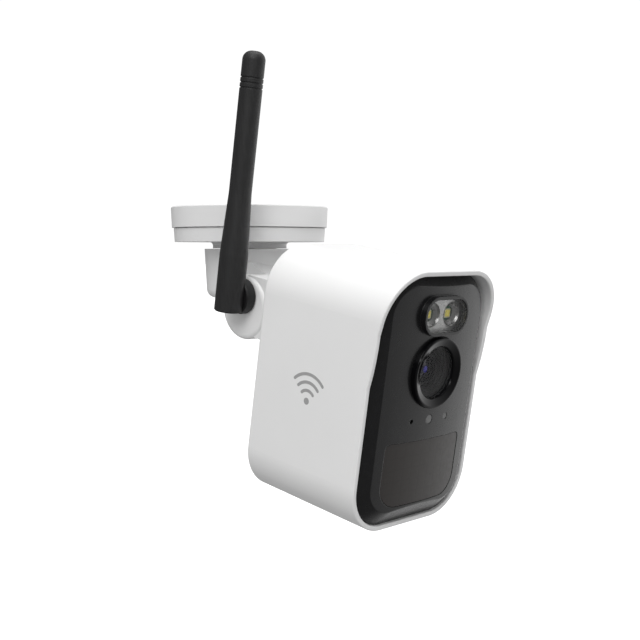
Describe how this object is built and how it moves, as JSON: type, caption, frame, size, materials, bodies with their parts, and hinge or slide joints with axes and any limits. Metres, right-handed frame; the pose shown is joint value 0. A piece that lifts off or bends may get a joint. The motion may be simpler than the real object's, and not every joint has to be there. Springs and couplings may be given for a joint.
{
  "type": "security camera",
  "caption": "Battery security camera with a rounded white housing, black face with lens, spotlight and motion window, folding antenna, and a pan and tilt mount.",
  "frame": {"origin": "centre of the mounting plate's flat face, which lies against the ceiling or wall", "axes": "+Z out of the mounting face into the ceiling; the camera hangs below and looks towards -Y; the antenna is on -X, the camera's own right"},
  "size_m": [0.0774, 0.1486, 0.1858],
  "materials": {
    "white_shell": "satin moulded, very fine texture",
    "white_mount": "satin moulded",
    "black_gloss": "polished moulded",
    "black_face": "semi-gloss moulded",
    "black_antenna": "matt soft-touch",
    "motion_window": "smoked translucent",
    "clear_window": "clear polycarbonate",
    "lens_glass": "coated optical glass",
    "steel": "zinc plated",
    "brass": "turned",
    "rubber_grey": "moulded silicone",
    "rubber_black": "moulded silicone",
    "nylon": "plain",
    "board_green": "solder mask",
    "chip_black": "moulded epoxy",
    "reflector_metal": "metallised plastic",
    "led_package": "ceramic package with yellow phosphor",
    "battery_wrap": "shrink wrap",
    "speaker_frame": "black coated",
    "speaker_cone": "paper",
    "light_pipe": "frosted",
    "coax_jacket": "extruded"
  },
  "bodies": {
    "base": {"mounting_plate": "white_mount", "mount_cover": "white_mount"},
    "pan_head": {"pan_head": "white_mount", "pan_washer": "nylon", "pan_screw": "steel", "pan_nut": "steel", "pan_spring_washer": "steel", "pan_cap": "white_mount", "tilt_washers": "nylon"},
    "head": {"housing": "white_shell", "rear_cover": "white_shell", "cover_seal": "rubber_black", "cover_screws": "steel", "tilt_screw": "steel", "tilt_insert": "brass", "tilt_cap": "white_shell", "charge_board": "board_green", "usb_socket": "steel", "usb_tongue": "chip_black", "button_switch": "chip_black", "flap_strap": "rubber_grey", "speaker": "speaker_frame", "speaker_cone": "speaker_cone", "battery_pack": "battery_wrap", "front_bezel": "black_face", "face_seal": "rubber_black", "face_screws": "steel", "pir_window": "motion_window", "lens_ring": "black_gloss", "lens_glass": "lens_glass", "lens_barrel": "black_gloss", "lens_element": "lens_glass", "lens_holder": "chip_black", "image_sensor": "chip_black", "light_window": "clear_window", "light_reflector": "reflector_metal", "spot_leds": "led_package", "led_board": "board_green", "main_board": "board_green", "board_screws": "steel", "board_chips": "chip_black", "shield_can": "steel", "card_slot": "steel", "pir_sensor": "steel", "microphone": "steel", "light_sensor_pipe": "light_pipe", "status_light_pipe": "light_pipe", "signal_parts": "led_package", "antenna_coax": "coax_jacket", "coax_plug": "brass"},
    "antenna": {"antenna_sheath": "black_antenna", "antenna_radiator": "brass", "antenna_hub": "black_antenna", "antenna_pivot": "brass", "pivot_clip": "steel"},
    "port_flap": {"port_flap": "rubber_grey"},
    "power_button": {"power_button": "rubber_black"}
  },
  "joints": [
    {"name": "pan", "type": "hinge", "parent": "base", "child": "pan_head", "pos_m": [0, 0, -0.0185], "axis": [0, 0, 1], "continuous": true},
    {"name": "tilt", "type": "hinge", "parent": "pan_head", "child": "head", "pos_m": [0, -0.027, -0.0427], "axis": [1, 0, 0], "range_deg": [-12, 80.7]},
    {"name": "antenna_swing", "type": "hinge", "parent": "head", "child": "antenna", "pos_m": [-0.031, -0.02802, -0.038], "axis": [1, 0, 0], "range_deg": [-8, 28]},
    {"name": "port_flap_hinge", "type": "hinge", "parent": "head", "child": "port_flap", "pos_m": [0, -0.03652, -0.08266], "axis": [-1, 0, 0], "range_deg": [0, 110]},
    {"name": "power_button_press", "type": "slide", "parent": "head", "child": "power_button", "axis": [0, -0.9869, -0.1616], "range_m": [0, 0.0006], "stiffness_N_per_m": 800, "springref_m": -0.001}
  ]
}
